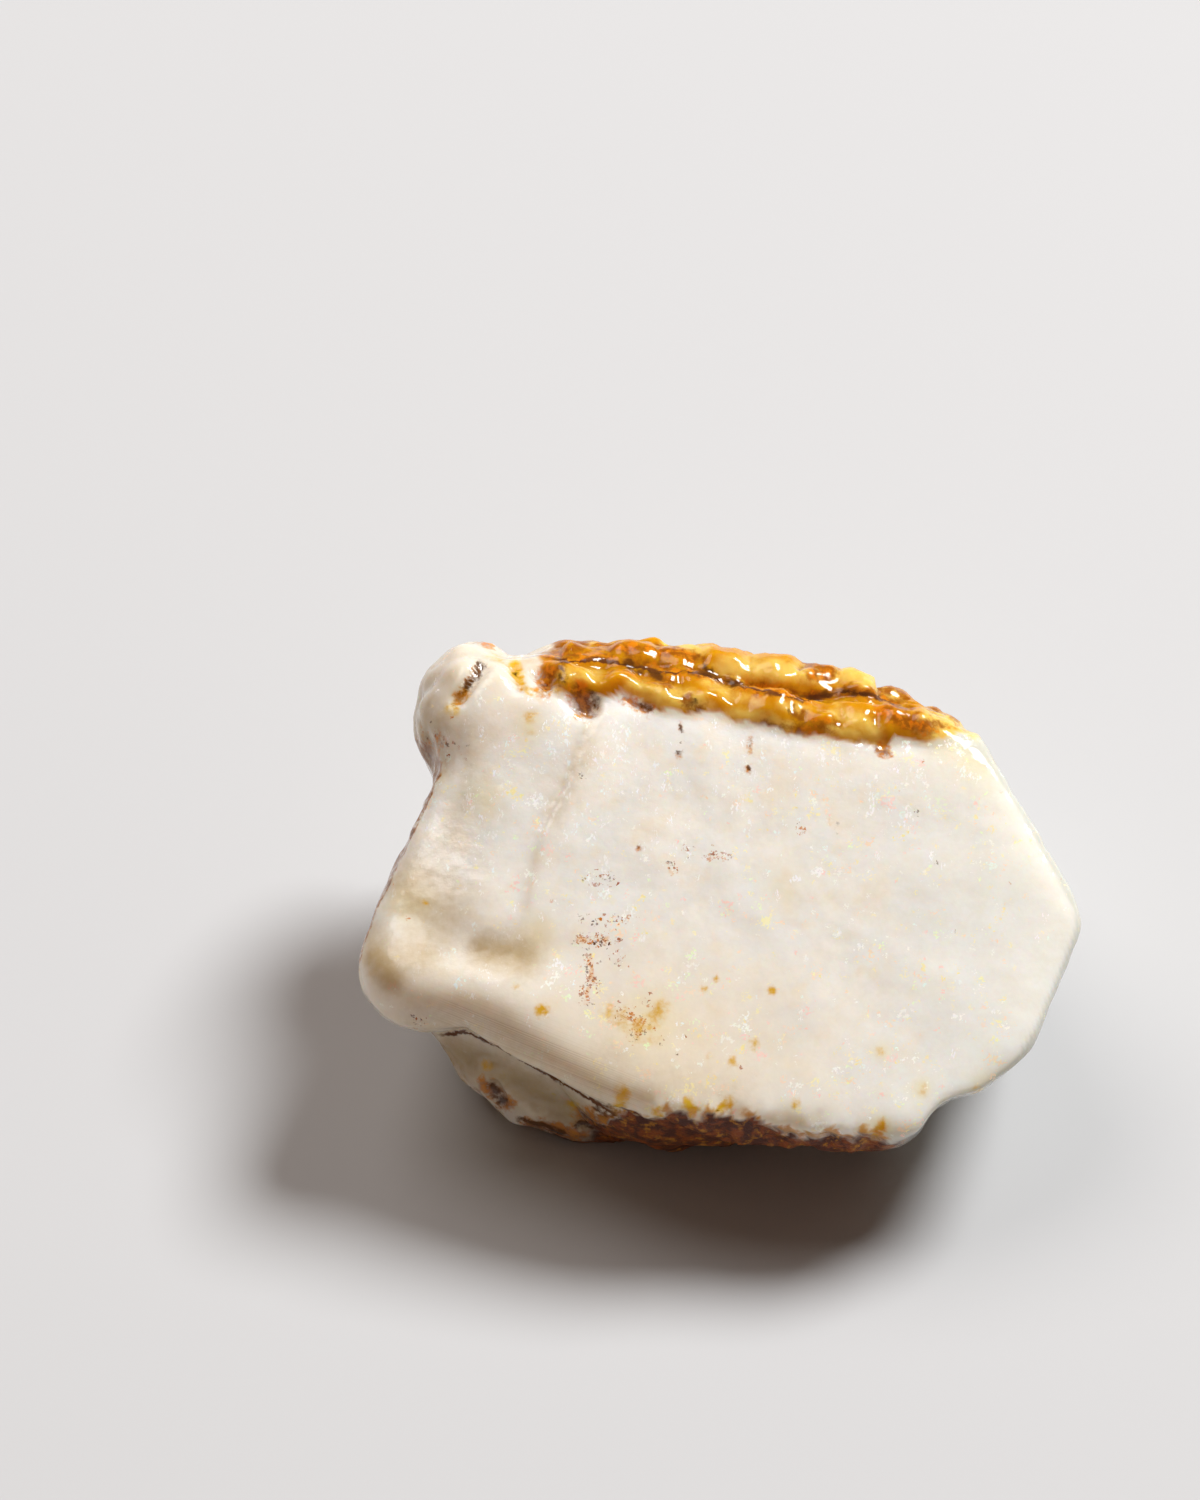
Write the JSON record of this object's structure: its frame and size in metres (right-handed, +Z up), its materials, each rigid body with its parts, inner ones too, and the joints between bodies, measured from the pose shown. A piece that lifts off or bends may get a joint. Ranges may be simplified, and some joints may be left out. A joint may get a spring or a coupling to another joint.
{
  "type": "rough opal specimen",
  "caption": "Rough lump of milky white opal with a broad broken face, a ridged amber skin on top and a rough brown crust below, resting on a flat underside.",
  "frame": {"origin": "middle of the stone's bounding box at the level of its flat underside", "axes": "+X along the stone's length, +Y to the back, +Z up; the broad broken face looks up and to the front, along -Y and +Z"},
  "size_m": [0.0388, 0.029, 0.0193],
  "materials": {
    "milky_opal": "gloss"
  },
  "bodies": {
    "root": {"opal": "milky_opal"}
  },
  "joints": []
}
